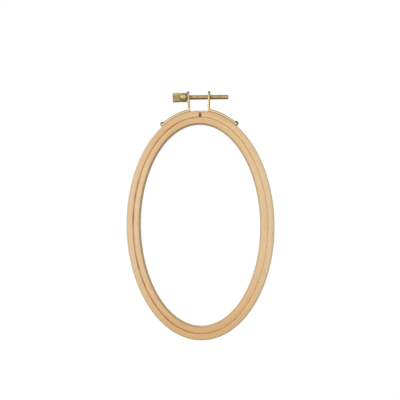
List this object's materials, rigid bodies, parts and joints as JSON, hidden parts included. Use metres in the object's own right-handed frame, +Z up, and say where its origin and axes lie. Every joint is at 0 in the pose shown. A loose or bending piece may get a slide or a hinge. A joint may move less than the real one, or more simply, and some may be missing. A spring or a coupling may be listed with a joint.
{
  "type": "embroidery hoop",
  "caption": "Oval wooden embroidery hoop: an inner ring held in a split outer ring, which a brass clamp screw between two ears draws together.",
  "frame": {"origin": "centre of the oval, on the surface that the hoop lies on", "axes": "+Z up through the opening, +Y towards the clamp screw, +X from the screw's knurled head towards its free end"},
  "size_m": [0.111, 0.1872, 0.008],
  "materials": {
    "inner_wood": "beech, sanded smooth, unvarnished",
    "outer_wood": "beech, sanded smooth, unvarnished",
    "strip_brass": "rolled brass strip, sheared and bent, slightly dulled",
    "screw_brass": "turned and knurled brass, slightly dulled",
    "nail_brass": "brass nail with a domed head"
  },
  "bodies": {
    "frame": {"outer_ring": "outer_wood", "left_bracket": "strip_brass", "left_nail": "nail_brass", "head_washer": "strip_brass"},
    "inner": {"inner_ring": "inner_wood"},
    "screw": {"clamp_screw": "screw_brass"},
    "right_clamp": {"right_bracket": "strip_brass", "right_nail": "nail_brass"}
  },
  "joints": [
    {"name": "inner_ring_lift", "type": "slide", "parent": "frame", "child": "inner", "axis": [0, 0, 1], "range_m": [0, 0.02]},
    {"name": "screw_turn", "type": "hinge", "parent": "frame", "child": "screw", "pos_m": [-0.00993, 0.09635, 0.004], "axis": [-1, 0, 0], "range_deg": [0, 3600]},
    {"name": "clamp_gap", "type": "slide", "parent": "frame", "child": "right_clamp", "axis": [1, 0, 0], "range_m": [0, 0.006], "deforming": ["outer_ring"]}
  ],
  "couplings": [
    {"joint": "screw_turn", "follows": "clamp_gap", "rad_per_m": 10472}
  ]
}
